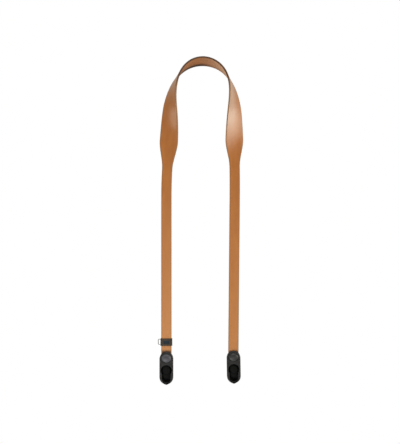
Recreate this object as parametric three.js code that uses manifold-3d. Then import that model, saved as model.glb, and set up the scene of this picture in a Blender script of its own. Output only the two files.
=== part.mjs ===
// A camera neck strap, hanging as it does round a neck. One leather band lies wide over the neck in an arch,
// makes a quarter twist down each side, narrows to two legs, and ends in a quick-release housing on each leg.
// A spring tongue in each housing takes the camera's round cord anchor. A keeper with a wire loop slides on
// the left leg. Millimetres, +Z up, and the viewer looks along +Y, so left and right are the viewer's.
// The origin is the middle of the crown's underside, where the band sits on the neck.

import * as THREE from "three";
import { mergeVertices } from "three/addons/utils/BufferGeometryUtils.js";
import Module from "manifold-3d";

const wasm = await Module();
wasm.setup();

// Fits: the gap that pieces keep, how far a cut runs out of the surface, and how far into the cut behind it
const gap = 0.3;
const overcut = 1;
const bite = 0.3;

// Leather band. The crown lies a little to the right of the band's middle, so that the right leg is shorter,
// and the wide pad's middle lies a little to the left of the crown.
const strapLength = 850.4;
const crownShift = 0.9;
const padShift = 2;
const padWidth = 25;
const legWidth = 13.9;
const leatherThickness = 2.4;
const leatherChamfer = 0.6;
const padLength = 263;
const taperLength = 38;
const drapedLength = 225;
const stationLength = 4;

// Housing, measured from the middle of the leather and down from the mouth that the leather enters
const socketDepth = 9;
const socketSidePlay = 0.6;
const housingSideWall = 1.7;
const housingWidth = legWidth + 2 * (socketSidePlay + housingSideWall);
const housingLength = 44.6;
const housingFront = 4.4;
const housingBack = 5;
const housingRim = 1.4;
const capHeight = 10.3;
const noseLength = 11;
const domeWidth = 13.4;
const domeLength = 11.6;
const domeRise = 1.2;
const domeDrop = 3.3;

// Shares of the nose's half width and length at which its curve is pulled towards the tip and the sides
const nosePull = { tipAcross: 0.56, tipUp: 0.16, sideUp: 0.4 };

// Keyhole that the anchor disc enters, and the pocket that it slides down into, behind two lips
const entryDiameter = 13.4;
const entryDrop = 25.2;
const discSlide = 8.6;
const lipThickness = 1.5;
const lipOverhang = 1.6;
const channelWidth = entryDiameter - 2 * lipOverhang;
const channelEndWidth = 4.4;
const channelTaper = 6;
const pocketEnd = entryDrop + discSlide + entryDiameter / 2;
const pocketDepth = 2.7;
const cordGrooveRadius = 1.3;
const backWall = 1.5;

// Spring tongue, behind the pocket, with the round seat that the disc is pressed on to
const tongueThickness = 1.3;
const tongueSidePlay = 0.4;
const tongueWidth = channelWidth - 2 * tongueSidePlay;
const tongueFront = housingFront - lipThickness - pocketDepth;
const tongueShortfall = 4.1;
const hingeRise = 9.7;
const hingeDrop = entryDrop - hingeRise;
const hingeRadius = 1.4;
const seatPlay = 1.4;
const seatRise = 1;

// Cross pin through the leather's end
const pinRadius = 1.5;
const pinEndDistance = 4;
const pinDrop = socketDepth - pinEndDistance;
const pinFront = 3.2;

// Keeper and its wire loop
const keeperLength = 9.7;
const keeperRise = 7.9;
const keeperSideWall = 0.7;
const keeperFrontWall = 1;
const keeperCorner = 1;
const plateWidth = 7.4;
const plateLength = 4.2;
const plateDepth = 0.4;
const wireDiameter = 0.9;
const wireCover = 0.45;
const wireGrip = 8;
const keeperBackWall = wireDiameter + 2 * (gap + wireCover);
const loopReach = 3.5;
const loopInset = 0.85;
const loopLength = keeperLength - 2 * loopInset;
const loopCorner = 1.2;

// How the band runs on from the crown, in degrees at even steps of the draped length. Fall turns it from
// level to straight down, lean brings it towards the viewer, and turn swings its grain side to face them.
const crownRow = { fall: 1, lean: -1, turn: -25 };
const leftRows = [
  { fall: 36, lean: 12, turn: -13 },
  { fall: 66, lean: 16, turn: 8 },
  { fall: 80, lean: 11, turn: 26 },
  { fall: 89.5, lean: 5, turn: 49 },
  { fall: 88, lean: 3, turn: 66 },
  { fall: 86.5, lean: 1, turn: 81 },
  { fall: 86, lean: 0, turn: 88 },
  { fall: 87, lean: 0, turn: 90 },
  { fall: 90, lean: 0, turn: 90 },
  { fall: 90, lean: 0, turn: 90 },
];
const rightRows = [
  { fall: 34, lean: 11, turn: -14 },
  { fall: 67, lean: 14, turn: 3 },
  { fall: 84, lean: 10, turn: 24 },
  { fall: 90.5, lean: 4, turn: 46 },
  { fall: 90.5, lean: 1, turn: 61 },
  { fall: 89, lean: 0, turn: 75 },
  { fall: 89, lean: 0, turn: 86 },
  { fall: 89.5, lean: 0, turn: 90 },
  { fall: 90.5, lean: 0, turn: 90 },
  { fall: 90.5, lean: 0, turn: 90 },
];

// The right housing hangs a little out of line with its leg
const housingLean = { left: 0, right: -1 };

const housingMaterial = { color: 0x26272a, roughness: 0.48, metalness: 0 };
const tongueMaterial = { color: 0x121315, roughness: 0.55, metalness: 0 };
const leatherMaterial = { color: 0xb9783f, roughness: 0.45, metalness: 0 };
const steelMaterial = { color: 0x9a9c9f, roughness: 0.35, metalness: 1 };
const rubberMaterial = { color: 0x1b1c1f, roughness: 0.6, metalness: 0 };
const wireMaterial = { color: 0xd6d7d9, roughness: 0.22, metalness: 1 };

/** Turns a closed geometry into a solid that can be joined and cut. */
function solidOf(geometry) {
  const bare = geometry.clone();
  bare.deleteAttribute("normal");
  bare.deleteAttribute("uv");
  const merged = mergeVertices(bare);
  return new wasm.Manifold(
    new wasm.Mesh({
      numProp: 3,
      vertProperties: new Float32Array(merged.getAttribute("position").array),
      triVerts: new Uint32Array(merged.getIndex().array),
    }),
  );
}

/** Turns a solid back into a geometry with flat faces. */
function geometryOf(solid) {
  const mesh = solid.getMesh();
  const geometry = new THREE.BufferGeometry();
  geometry.setAttribute("position", new THREE.BufferAttribute(new Float32Array(mesh.vertProperties), 3));
  geometry.setIndex(new THREE.BufferAttribute(new Uint32Array(mesh.triVerts), 1));
  const flat = geometry.toNonIndexed();
  flat.computeVertexNormals();
  return flat;
}

/** Names a mesh, gives it its own material and puts it in the group. */
function addPiece(group, name, solid, material) {
  const mesh = new THREE.Mesh(geometryOf(solid), new THREE.MeshStandardMaterial(material));
  mesh.name = name;
  group.add(mesh);
  return mesh;
}

/** A plate whose outline is drawn as the viewer sees it, between two depths, with an optional rounded rim. */
function plate(outline, front, back, rim = 0) {
  const geometry = new THREE.ExtrudeGeometry(outline, {
    depth: back - front - 2 * rim,
    bevelEnabled: rim > 0,
    bevelThickness: rim,
    bevelSize: rim,
    bevelOffset: -rim,
    bevelSegments: 3,
    curveSegments: 14,
  });
  geometry.rotateX(Math.PI / 2);
  geometry.translate(0, back - rim, 0);
  return solidOf(geometry);
}

/** A block between two corners, each given as x, y, z. */
function block(low, high) {
  const geometry = new THREE.BoxGeometry(high.x - low.x, high.y - low.y, high.z - low.z);
  geometry.translate((low.x + high.x) / 2, (low.y + high.y) / 2, (low.z + high.z) / 2);
  return solidOf(geometry);
}

/** A rod along X, Y or Z round a centre. */
function rod(axis, radius, length, centre) {
  const geometry = new THREE.CylinderGeometry(radius, radius, length, 28);
  if (axis === "x") geometry.rotateZ(Math.PI / 2);
  if (axis === "z") geometry.rotateX(Math.PI / 2);
  geometry.translate(centre.x, centre.y, centre.z);
  return solidOf(geometry);
}

/** The row at a whole step from the crown, left of it when negative, as the band runs from left to right. */
function rowAt(step) {
  const side = Math.sign(step);
  const rows = side < 0 ? leftRows : rightRows;
  const row = side === 0 ? crownRow : rows[Math.min(Math.abs(step), rows.length) - 1];
  const sense = side < 0 ? 1 : -1;
  return { climb: sense * row.fall, away: sense * row.lean, turn: row.turn };
}

/** The climb, away and turn angles at a length along the band, blended from the rows by a cubic B-spline. */
function anglesAt(along) {
  const place = along / (drapedLength / leftRows.length);
  const step = Math.floor(place);
  const f = place - step;
  const weights = [
    (1 - f) ** 3 / 6,
    (3 * f ** 3 - 6 * f ** 2 + 4) / 6,
    (-3 * f ** 3 + 3 * f ** 2 + 3 * f + 1) / 6,
    f ** 3 / 6,
  ];
  const angles = { climb: 0, away: 0, turn: 0 };
  weights.forEach((weight, i) => {
    const row = rowAt(step - 1 + i);
    angles.climb += weight * row.climb;
    angles.away += weight * row.away;
    angles.turn += weight * row.turn;
  });
  return angles;
}

/** The three directions of the band at a length along it: along, grain side out, and towards the far edge. */
function directionsAt(along) {
  const angles = anglesAt(along);
  const climb = THREE.MathUtils.degToRad(angles.climb);
  const away = THREE.MathUtils.degToRad(angles.away);
  const turn = THREE.MathUtils.degToRad(angles.turn);
  const run = new THREE.Vector3(
    Math.cos(climb) * Math.cos(away),
    Math.sin(away),
    Math.sin(climb) * Math.cos(away),
  );
  const depth = new THREE.Vector3(0, 1, 0);
  const inward = depth.clone().cross(run).normalize();
  const facing = depth.clone().negate().addScaledVector(run, run.y).normalize();
  const near = facing.clone().multiplyScalar(Math.cos(turn)).addScaledVector(inward, Math.sin(turn));
  const grain = facing.clone().multiplyScalar(Math.sin(turn)).addScaledVector(inward, -Math.cos(turn));
  return { run, grain, far: near.negate() };
}

/** Walks the band's middle line from the crown to a length on either side of it. */
function middleAt(along) {
  const middle = directionsAt(0).grain.multiplyScalar(leatherThickness / 2);
  const steps = Math.max(1, Math.ceil(Math.abs(along) / (stationLength / 2)));
  const stride = along / steps;
  for (let i = 0; i < steps; i += 1) {
    middle.addScaledVector(directionsAt((i + 0.5) * stride).run, stride);
  }
  return middle;
}

/** The band's width at a length along it: full over the neck, then an S-shaped taper down to the legs. */
function bandWidth(along) {
  const share = THREE.MathUtils.clamp((Math.abs(along + padShift) - padLength / 2) / taperLength, 0, 1);
  return padWidth + (legWidth - padWidth) * THREE.MathUtils.smoothstep(share, 0, 1);
}

/** The flat band's cross-section at full width, with its long edges broken. */
function bandSection() {
  const halfWidth = padWidth / 2;
  const halfThickness = leatherThickness / 2;
  const section = new THREE.Shape();
  section.moveTo(halfWidth, -halfThickness + leatherChamfer);
  section.lineTo(halfWidth, halfThickness - leatherChamfer);
  section.lineTo(halfWidth - leatherChamfer, halfThickness);
  section.lineTo(-halfWidth + leatherChamfer, halfThickness);
  section.lineTo(-halfWidth, halfThickness - leatherChamfer);
  section.lineTo(-halfWidth, -halfThickness + leatherChamfer);
  section.lineTo(-halfWidth + leatherChamfer, -halfThickness);
  section.lineTo(halfWidth - leatherChamfer, -halfThickness);
  section.closePath();
  return section;
}

/** Cuts the band flat, then lays each of its stations on the walked line. */
function drapedBand() {
  const geometry = new THREE.ExtrudeGeometry(bandSection(), {
    depth: strapLength,
    steps: Math.round(strapLength / stationLength),
    bevelEnabled: false,
  });
  const stations = new Map();
  const position = geometry.getAttribute("position");
  const point = new THREE.Vector3();
  for (let i = 0; i < position.count; i += 1) {
    point.fromBufferAttribute(position, i);
    const along = point.z - strapLength / 2 - crownShift;
    const key = along.toFixed(3);
    if (!stations.has(key)) stations.set(key, { ...directionsAt(along), middle: middleAt(along) });
    const station = stations.get(key);
    const across = point.x - (Math.sign(point.x) * (padWidth - bandWidth(along))) / 2;
    const height = point.y;
    point.copy(station.middle).addScaledVector(station.far, across).addScaledVector(station.grain, height);
    position.setXYZ(i, point.x, point.y, point.z);
  }
  return solidOf(geometry);
}

/** The length along the band, from the crown, at which a leg enters its housing. */
function mouthAlong(side) {
  const sense = side === "left" ? -1 : 1;
  return sense * (strapLength / 2 - socketDepth) - crownShift;
}

/** Where a leg enters its housing: the place and the lean of the housing's own frame. */
function mouthOf(side) {
  return { place: middleAt(mouthAlong(side)), lean: THREE.MathUtils.degToRad(housingLean[side]) };
}

/** Moves a solid drawn in a housing's own frame to where that housing hangs. */
function hang(solid, mouth) {
  const matrix = new THREE.Matrix4().makeRotationY(mouth.lean).setPosition(mouth.place);
  return solid.transform(matrix.elements);
}

/** The housing's outline: a flat-topped round cap, straight sides and a blunt nose. */
function housingOutline() {
  const half = housingWidth / 2;
  const noseTop = -housingLength + noseLength;
  const tipPull = { x: half * nosePull.tipAcross, y: -housingLength + noseLength * nosePull.tipUp };
  const sidePull = -housingLength + noseLength * nosePull.sideUp;
  const outline = new THREE.Shape();
  outline.moveTo(0, -housingLength);
  outline.bezierCurveTo(tipPull.x, tipPull.y, half, sidePull, half, noseTop);
  outline.lineTo(half, -capHeight);
  outline.absellipse(0, -capHeight, half, capHeight, 0, Math.PI, false, 0);
  outline.lineTo(-half, noseTop);
  outline.bezierCurveTo(-half, sidePull, -tipPull.x, tipPull.y, 0, -housingLength);
  return outline;
}

/** The opening in the housing's front: a round entry over a channel that closes to a V. */
function keyholeOutline() {
  const radius = entryDiameter / 2;
  const half = channelWidth / 2;
  const meet = Math.acos(half / radius);
  const taperTop = -pocketEnd + channelTaper;
  const outline = new THREE.Shape();
  outline.absarc(0, -entryDrop, radius, -meet, Math.PI + meet, false);
  outline.lineTo(-half, taperTop);
  outline.quadraticCurveTo(-half, taperTop - channelTaper / 2, -channelEndWidth / 2, -pocketEnd);
  outline.lineTo(channelEndWidth / 2, -pocketEnd);
  outline.quadraticCurveTo(half, taperTop - channelTaper / 2, half, taperTop);
  return outline;
}

/** The pocket behind the lips, as long as the disc's slide. */
function pocketOutline() {
  const radius = entryDiameter / 2;
  const outline = new THREE.Shape();
  outline.absarc(0, -entryDrop, radius, 0, Math.PI, false);
  outline.absarc(0, -entryDrop - discSlide, radius, Math.PI, 2 * Math.PI, false);
  return outline;
}

/** The thumb dome on the housing's front, above the keyhole. */
function thumbDome() {
  const geometry = new THREE.SphereGeometry(1, 28, 18);
  geometry.scale(domeWidth / 2, housingRim + domeRise, domeLength / 2);
  geometry.translate(0, -housingFront + housingRim, -domeDrop - domeLength / 2);
  return solidOf(geometry);
}

/** One moulded housing in its own frame: socket and pin hole above, keyhole, pocket and chamber below. */
function housingSolid() {
  const cavityBack = housingBack - backWall;
  const pocketFront = -housingFront + lipThickness;
  const hingeDepth = -tongueFront + tongueThickness / 2;
  const socketHalf = legWidth / 2 + socketSidePlay;
  const socketThick = leatherThickness / 2 + gap;
  const chamberHalf = tongueWidth / 2 + gap;
  const hinge = { x: 0, y: hingeDepth, z: -hingeDrop };
  const groove = { x: 0, y: -housingFront, z: -housingLength };
  const body = plate(housingOutline(), -housingFront, housingBack, housingRim).add(thumbDome());
  const socket = block(
    { x: -socketHalf, y: -socketThick, z: -socketDepth - gap },
    { x: socketHalf, y: socketThick, z: overcut },
  );
  const keyhole = plate(keyholeOutline(), -housingFront - domeRise - overcut, pocketFront + bite);
  const pocket = plate(pocketOutline(), pocketFront, cavityBack);
  const chamber = block(
    { x: -chamberHalf, y: -tongueFront - gap, z: -entryDrop },
    { x: chamberHalf, y: cavityBack, z: -hingeDrop },
  );
  const hingeSeat = rod("x", hingeRadius + gap, 2 * chamberHalf, hinge);
  const pinHole = rod("y", pinRadius + gap, pinFront + gap + housingBack + overcut, {
    x: 0,
    y: (housingBack + overcut - pinFront - gap) / 2,
    z: -pinDrop,
  });
  const cordGroove = rod("z", cordGrooveRadius, noseLength, groove);
  return [socket, keyhole, pocket, chamber, hingeSeat, pinHole, cordGroove].reduce(
    (solid, cut) => solid.subtract(cut),
    body,
  );
}

/** One spring tongue in the housing's frame: a hinge roll, a round-ended plate and the raised anchor seat. */
function tongueSolid() {
  const half = tongueWidth / 2;
  const front = -tongueFront;
  const back = front + tongueThickness;
  const outline = new THREE.Shape();
  outline.moveTo(half, -hingeDrop);
  outline.lineTo(-half, -hingeDrop);
  outline.absarc(0, -pocketEnd + tongueShortfall + half, half, Math.PI, 2 * Math.PI, false);
  const roll = rod("x", hingeRadius, tongueWidth, { x: 0, y: (front + back) / 2, z: -hingeDrop });
  const seatDepth = seatRise + tongueThickness / 2;
  const seatCentre = { x: 0, y: front - seatRise + seatDepth / 2, z: -entryDrop };
  const seat = rod("y", entryDiameter / 2 - seatPlay, seatDepth, seatCentre);
  return plate(outline, front, back).add(roll).add(seat);
}

/** One plain cross pin in the housing's frame, a little below the back face. */
function pinSolid() {
  const length = pinFront + housingBack - gap;
  return rod("y", pinRadius, length, { x: 0, y: length / 2 - pinFront, z: -pinDrop });
}

/** A rectangle with round corners, centred at a depth, drawn as seen from above. */
function roundedRectangle(path, halfX, lowY, highY, corner) {
  path.moveTo(halfX, lowY + corner);
  path.absarc(halfX - corner, highY - corner, corner, 0, Math.PI / 2, false);
  path.absarc(-halfX + corner, highY - corner, corner, Math.PI / 2, Math.PI, false);
  path.absarc(-halfX + corner, lowY + corner, corner, Math.PI, 1.5 * Math.PI, false);
  path.absarc(halfX - corner, lowY + corner, corner, 1.5 * Math.PI, 2 * Math.PI, false);
  return path;
}

/** Depth of the wire's middle, half way through the keeper's thick back. */
function wireDepth() {
  return leatherThickness / 2 + gap + keeperBackWall / 2;
}

/** The keeper round the left leg, in a frame centred on the leg at the keeper's height. */
function keeperSolid() {
  const holeHalf = legWidth / 2 + gap;
  const holeDepth = leatherThickness / 2 + gap;
  const outerHalf = holeHalf + keeperSideWall;
  const outline = roundedRectangle(
    new THREE.Shape(), outerHalf, -holeDepth - keeperFrontWall, holeDepth + keeperBackWall, keeperCorner,
  );
  outline.holes.push(roundedRectangle(new THREE.Path(), holeHalf, -holeDepth, holeDepth, leatherChamfer));
  const geometry = new THREE.ExtrudeGeometry(outline, {
    depth: keeperLength,
    bevelEnabled: false,
    curveSegments: 4,
  });
  geometry.translate(0, 0, -keeperLength / 2);
  const plateRecess = block(
    { x: -plateWidth / 2, y: -holeDepth - keeperFrontWall - overcut, z: -plateLength / 2 },
    { x: plateWidth / 2, y: -holeDepth - keeperFrontWall + plateDepth, z: plateLength / 2 },
  );
  const boreLength = wireGrip + gap + overcut;
  const bores = [1, -1].map((sense) =>
    rod("x", wireDiameter / 2 + gap, boreLength, {
      x: -outerHalf - overcut + boreLength / 2,
      y: wireDepth(),
      z: (sense * (loopLength - wireDiameter)) / 2,
    }),
  );
  return solidOf(geometry).subtract(plateRecess).subtract(bores[0]).subtract(bores[1]);
}

/** The bent wire that stands out of the keeper's left side, in the keeper's frame. */
function loopSolid() {
  const outerHalf = legWidth / 2 + gap + keeperSideWall;
  const inner = -outerHalf + wireGrip;
  const outer = -outerHalf - loopReach + wireDiameter / 2;
  const half = (loopLength - wireDiameter) / 2;
  const depth = wireDepth();
  const at = (x, z) => new THREE.Vector3(x, depth, z);
  const armEnds = [at(outer + loopCorner, half), at(outer + loopCorner, -half)];
  const sideEnds = [at(outer, half - loopCorner), at(outer, loopCorner - half)];
  const bend = new THREE.CurvePath();
  bend.add(new THREE.LineCurve3(at(inner, half), armEnds[0]));
  bend.add(new THREE.QuadraticBezierCurve3(armEnds[0], at(outer, half), sideEnds[0]));
  bend.add(new THREE.LineCurve3(sideEnds[0], sideEnds[1]));
  bend.add(new THREE.QuadraticBezierCurve3(sideEnds[1], at(outer, -half), armEnds[1]));
  bend.add(new THREE.LineCurve3(armEnds[1], at(inner, -half)));
  const section = new THREE.Shape();
  section.absarc(0, 0, wireDiameter / 2, 0, 2 * Math.PI, false);
  return solidOf(new THREE.ExtrudeGeometry(section, { steps: 44, extrudePath: bend, curveSegments: 5 }));
}

const group = new THREE.Group();
const sides = ["left", "right"];
let strap = drapedBand();
for (const side of sides) {
  const mouth = mouthOf(side);
  addPiece(group, `${side}_housing`, hang(housingSolid(), mouth), housingMaterial);
  addPiece(group, `${side}_tongue`, hang(tongueSolid(), mouth), tongueMaterial);
  addPiece(group, `${side}_pin`, hang(pinSolid(), mouth), steelMaterial);
  const pinHole = rod("y", pinRadius + gap, leatherThickness + 2 * overcut, { x: 0, y: 0, z: -pinDrop });
  strap = strap.subtract(hang(pinHole, mouth));
}
addPiece(group, "strap", strap, leatherMaterial);

const keeper = new THREE.Group();
keeper.position.copy(middleAt(mouthAlong("left") + keeperRise + keeperLength / 2));
addPiece(keeper, "keeper_band", keeperSolid(), rubberMaterial);
addPiece(keeper, "keeper_loop", loopSolid(), wireMaterial);
group.add(keeper);

export default group;
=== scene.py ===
"""A leather camera neck strap, dressed for a studio picture.

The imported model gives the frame: one draped leather band, a quick-release housing on each leg with a sprung
tongue and a cross pin, and a keeper with a wire loop on the left leg. Everything is in metres, +Z up, and the
viewer looks along +Y. The origin is the middle of the crown's underside.
"""
import logging
import math
from dataclasses import dataclass
from enum import Enum

import bmesh
import bpy
from bmesh.types import BMEdge, BMesh, BMVert
from bpy.types import Material, Node, NodeSocket, NodeTree, Object
from mathutils import Matrix, Vector


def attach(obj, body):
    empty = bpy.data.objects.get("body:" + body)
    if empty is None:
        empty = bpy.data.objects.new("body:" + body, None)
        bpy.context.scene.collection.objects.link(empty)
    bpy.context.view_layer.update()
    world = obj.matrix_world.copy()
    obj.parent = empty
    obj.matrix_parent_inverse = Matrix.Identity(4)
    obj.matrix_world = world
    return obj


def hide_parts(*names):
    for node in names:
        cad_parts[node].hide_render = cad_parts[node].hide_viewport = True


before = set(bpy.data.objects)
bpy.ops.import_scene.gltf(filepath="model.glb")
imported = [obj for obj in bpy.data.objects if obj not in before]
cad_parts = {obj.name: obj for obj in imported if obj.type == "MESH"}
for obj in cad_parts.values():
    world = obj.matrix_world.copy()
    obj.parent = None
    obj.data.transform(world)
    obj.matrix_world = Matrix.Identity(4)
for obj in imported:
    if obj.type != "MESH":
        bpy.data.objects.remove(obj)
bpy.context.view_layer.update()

log = logging.getLogger("strap")
MM = 0.001
Ring = list[BMEdge]


class Side(Enum):
    """A leg of the strap, named as the viewer sees it. The value is its sense along +X."""

    LEFT = -1
    RIGHT = 1

    @property
    def word(self) -> str:
        """The side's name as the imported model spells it."""
        return self.name.lower()


class Join(Enum):
    """How one solid is combined with another."""

    ADD = "UNION"
    CUT = "DIFFERENCE"


def to_linear(colour: str) -> tuple[float, float, float, float]:
    """Turns an sRGB hex colour into the linear numbers that a shader takes.

    Args:
        colour: six hex digits after a hash sign.

    Returns:
        Red, green, blue and an alpha of one.
    """
    channels = [int(colour[i:i + 2], 16) / 255 for i in (1, 3, 5)]
    linear = [c / 12.92 if c <= 0.04045 else ((c + 0.055) / 1.055) ** 2.4 for c in channels]
    return (*linear, 1.0)


def add_node(tree: NodeTree, kind: str, inputs: dict | None = None, **settings) -> Node:
    """Adds one shader node with its settings and its links.

    Args:
        tree: the material's or world's node tree.
        kind: the node's type.
        inputs: what goes into each named or numbered socket, a value or another node's output.
        settings: the node's own properties.

    Returns:
        The new node.
    """
    node = tree.nodes.new(kind)
    for name, value in settings.items():
        setattr(node, name, value)
    for name, value in (inputs or {}).items():
        if isinstance(value, NodeSocket):
            tree.links.new(value, node.inputs[name])
        else:
            node.inputs[name].default_value = value
    return node


def new_tree(name: str) -> tuple[Material, NodeTree]:
    """Makes an empty node material.

    Args:
        name: what the real finish is called.

    Returns:
        The material and its emptied node tree.
    """
    material = bpy.data.materials.new(name)
    material.use_nodes = True
    material.node_tree.nodes.clear()
    return material, material.node_tree


def set_ramp(node: Node, stops: list[tuple[float, str]]) -> None:
    """Gives a colour ramp its stops, each a place from 0 to 1 and an sRGB hex colour."""
    elements = node.color_ramp.elements
    while len(elements) < len(stops):
        elements.new(0.5)
    for element, (place, colour) in zip(elements, stops):
        element.position = place
        element.color = to_linear(colour)


def close_surface(tree: NodeTree, inputs: dict) -> None:
    """Ends a material in one Principled shader with these values and links."""
    shader = add_node(tree, "ShaderNodeBsdfPrincipled", inputs)
    add_node(tree, "ShaderNodeOutputMaterial", {"Surface": shader.outputs["BSDF"]})


@dataclass(frozen=True)
class GrainLeather:
    """Full-grain vegetable-tanned leather with a glazed top: warm orange tan, fine pores, a soft broad gloss.

    A painted highlight, a lighter and greyer patch, lies on the right of the neck pad, most of all down its
    middle.
    """

    light: str = "#B26B28"
    deep: str = "#A55F1D"
    # Painted haze of light: the legs are painted lighter and less orange towards their ends, more on the left
    # leg.
    painted_haze: str = "#C7854B"
    painted_haze_from: float = 165 * MM
    painted_haze_to: float = 440 * MM
    painted_haze_on_right: float = 0.65
    painted_haze_ease: float = 0.8
    # A painted shadow: a dark band on the leather just above and into each housing's mouth.
    mouth_shadow: str = "#4A2B12"
    mouth_shadow_from: float = 413.8 * MM
    mouth_shadow_to: float = 417.2 * MM
    mouth_shadow_share: float = 0.85
    # A darker band along the grain face's edges: partly the burnished edge rounding over, partly painted
    # shade.
    rim: str = "#86603C"
    rim_width: float = 1.5 * MM
    # Painted highlight on the right of the neck pad, a reflection painted into the colour.
    painted_highlight: str = "#DCC1B1"
    painted_highlight_share: float = 0.5
    painted_highlight_rise: tuple[float, float] = (24 * MM, 72 * MM)
    painted_highlight_fall: tuple[float, float] = (97 * MM, 136 * MM)
    painted_highlight_across: tuple[float, float] = (-6 * MM, 9 * MM)
    painted_highlight_left_far: float = 0.3
    mottle_size: float = 16 * MM
    pore_size: float = 0.55 * MM
    wrinkle_size: float = 3.2 * MM

    def build(self) -> Material:
        """Returns the grain side's material."""
        material, tree = new_tree("glazed full-grain leather")
        flat = add_node(tree, "ShaderNodeAttribute", attribute_name="flat").outputs["Vector"]
        rim = add_node(tree, "ShaderNodeAttribute", attribute_name="rim").outputs["Fac"]
        stretched = add_node(tree, "ShaderNodeMapping", {
            "Vector": flat, "Scale": (1.6, 1.0, 0.5),
        }).outputs["Vector"]
        mottle = add_node(tree, "ShaderNodeTexNoise", {
            "Vector": stretched, "Scale": 1 / self.mottle_size, "Detail": 5.0, "Roughness": 0.6,
        }).outputs["Fac"]
        tone = add_node(tree, "ShaderNodeValToRGB", {"Fac": mottle})
        set_ramp(tone, [(0.32, self.deep), (0.68, self.light)])
        parts = add_node(tree, "ShaderNodeSeparateXYZ", {0: flat}).outputs
        along = add_node(tree, "ShaderNodeMath", {0: parts["Z"]}, operation="ABSOLUTE").outputs[0]
        share = {}
        # Masks for the painted haze of light on the legs, the painted highlight on the pad, the painted
        # shadow at the mouths and the edge band, which is partly painted shade.
        for name, source, start, end, low, high, curve in (
            ("fading", along, self.painted_haze_from, self.painted_haze_to, 0, 1, "LINEAR"),
            ("by leg", parts["Z"], -self.painted_haze_from, self.painted_haze_from, 1, self.painted_haze_on_right, "LINEAR"),
            ("rising", parts["Z"], *self.painted_highlight_rise, 0, self.painted_highlight_share, "SMOOTHSTEP"),
            ("falling", parts["Z"], *self.painted_highlight_fall, 1, 0, "SMOOTHSTEP"),
            ("inward", parts["X"], *self.painted_highlight_across, 1, self.painted_highlight_left_far, "SMOOTHSTEP"),
            ("mouth_shadow", along, self.mouth_shadow_from, self.mouth_shadow_to, 0, self.mouth_shadow_share, "SMOOTHSTEP"),
            ("rim", rim, 0, self.rim_width, 1, 0, "SMOOTHSTEP"),
        ):
            share[name] = add_node(tree, "ShaderNodeMapRange", {
                "Value": source, "From Min": start, "From Max": end, "To Min": low, "To Max": high,
            }, interpolation_type=curve).outputs["Result"]
        eased = add_node(tree, "ShaderNodeMath", {0: share["fading"], 1: self.painted_haze_ease}, operation="POWER")
        share["eased"] = eased.outputs[0]
        for name, first, second in (
            ("painted_haze", "eased", "by leg"), ("on pad", "rising", "falling"), ("painted_highlight", "on pad", "inward"),
        ):
            both = add_node(tree, "ShaderNodeMath", {0: share[first], 1: share[second]}, operation="MULTIPLY")
            share[name] = both.outputs[0]
        colour = tone.outputs["Color"]
        for name, over in (
            ("painted_haze", self.painted_haze), ("painted_highlight", self.painted_highlight), ("mouth_shadow", self.mouth_shadow), ("rim", self.rim),
        ):
            colour = add_node(tree, "ShaderNodeMix", {
                "Factor": share[name], 6: colour, 7: to_linear(over),
            }, data_type="RGBA").outputs[2]
        pores = add_node(tree, "ShaderNodeTexVoronoi", {
            "Vector": flat, "Scale": 1 / self.pore_size,
        }, feature="SMOOTH_F1")
        wrinkles = add_node(tree, "ShaderNodeTexNoise", {
            "Vector": stretched, "Scale": 1 / self.wrinkle_size, "Detail": 3.0,
        })
        relief = add_node(tree, "ShaderNodeMath", {
            0: pores.outputs["Distance"], 1: wrinkles.outputs["Fac"],
        }, operation="ADD")
        bump = add_node(tree, "ShaderNodeBump", {
            "Height": relief.outputs[0], "Strength": 0.12, "Distance": 0.06 * MM,
        })
        gloss = add_node(tree, "ShaderNodeMapRange", {"Value": mottle, "To Min": 0.38, "To Max": 0.5})
        close_surface(tree, {
            "Base Color": colour, "Roughness": gloss.outputs["Result"], "Normal": bump.outputs["Normal"],
            "IOR": 1.5, "Specular IOR Level": 0.45, "Coat Weight": 1.0, "Coat Roughness": 0.32,
        })
        return material


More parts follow.
